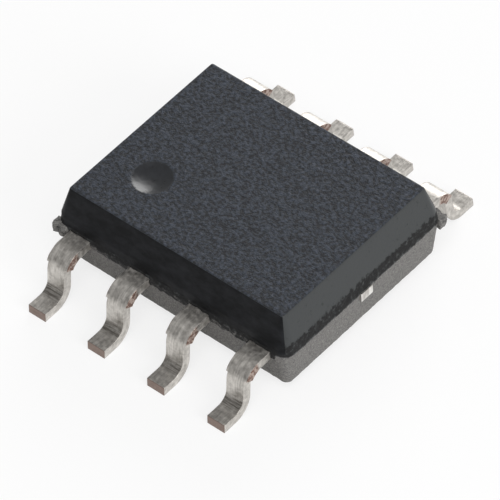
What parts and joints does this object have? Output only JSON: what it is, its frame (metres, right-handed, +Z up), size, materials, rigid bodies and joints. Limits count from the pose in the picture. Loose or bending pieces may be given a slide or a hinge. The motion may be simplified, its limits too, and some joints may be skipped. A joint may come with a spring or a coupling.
{
  "type": "soic chip",
  "caption": "Small-outline integrated circuit: a low drafted black epoxy body with a round dimple marking lead one, and gull-wing leads along both long sides for surface mounting",
  "frame": {"origin": "on the board plane under the feet, below the middle of the body", "axes": "+X along the body's length from the dimple's end to the far end, +Y across to the leads 5 to 8, +Z up from the board"},
  "size_m": [0.005, 0.0062, 0.0017],
  "materials": {
    "moulding": "dull grained top, smooth drafted sides",
    "leads": "matt tin plate, bare copper where the dam bar was cut",
    "die_pad": "bright plated lead-frame copper",
    "die_attach": "silver-filled epoxy",
    "die": "polished silicon",
    "bond_wires": "bright gold"
  },
  "bodies": {
    "root": {"body": "moulding", "lead_1": "leads", "lead_2": "leads", "lead_3": "leads", "lead_4": "leads", "lead_5": "leads", "lead_6": "leads", "lead_7": "leads", "lead_8": "leads", "die_pad": "die_pad", "die_attach": "die_attach", "die": "die", "bond_wire_1": "bond_wires", "bond_wire_2": "bond_wires", "bond_wire_3": "bond_wires", "bond_wire_4": "bond_wires", "bond_wire_5": "bond_wires", "bond_wire_6": "bond_wires", "bond_wire_7": "bond_wires", "bond_wire_8": "bond_wires"}
  },
  "joints": []
}
